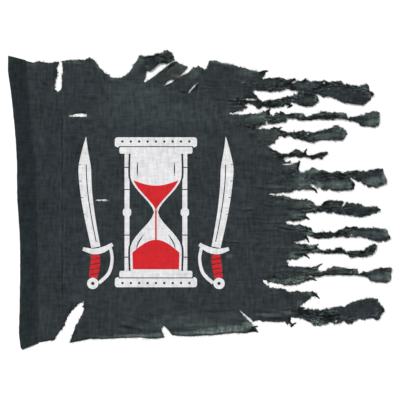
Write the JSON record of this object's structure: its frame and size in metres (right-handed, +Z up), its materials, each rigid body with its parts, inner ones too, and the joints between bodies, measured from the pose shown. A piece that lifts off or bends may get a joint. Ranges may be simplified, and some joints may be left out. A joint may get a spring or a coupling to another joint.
{
  "type": "tattered flag",
  "caption": "Tattered flag of thin dark gauze lying flat, with a pole sleeve at the hoist and the fly end torn into long ragged ribbons.",
  "frame": {"origin": "middle of the flag's bounding box in plan, on the surface that it lies on", "axes": "+X from the hoist (the pole sleeve) to the torn fly end, +Y from the bottom edge to the top edge, +Z up out of the printed face"},
  "size_m": [1.0054, 0.7858, 0.0107],
  "materials": {
    "faded_gauze": "open plain-weave cotton gauze, faded black, matt, a little see-through where it is worn",
    "double_gauze": "two layers of the same gauze, darker and less see-through",
    "white_print": "matt off-white screen print on the gauze, cracked along the threads",
    "red_print": "matt red screen print on the gauze",
    "loose_thread": "single faded threads pulled out of the torn edges, and the sleeve's stitching"
  },
  "bodies": {
    "root": {"flag_cloth": "faded_gauze", "pole_sleeve": "double_gauze"}
  },
  "joints": []
}
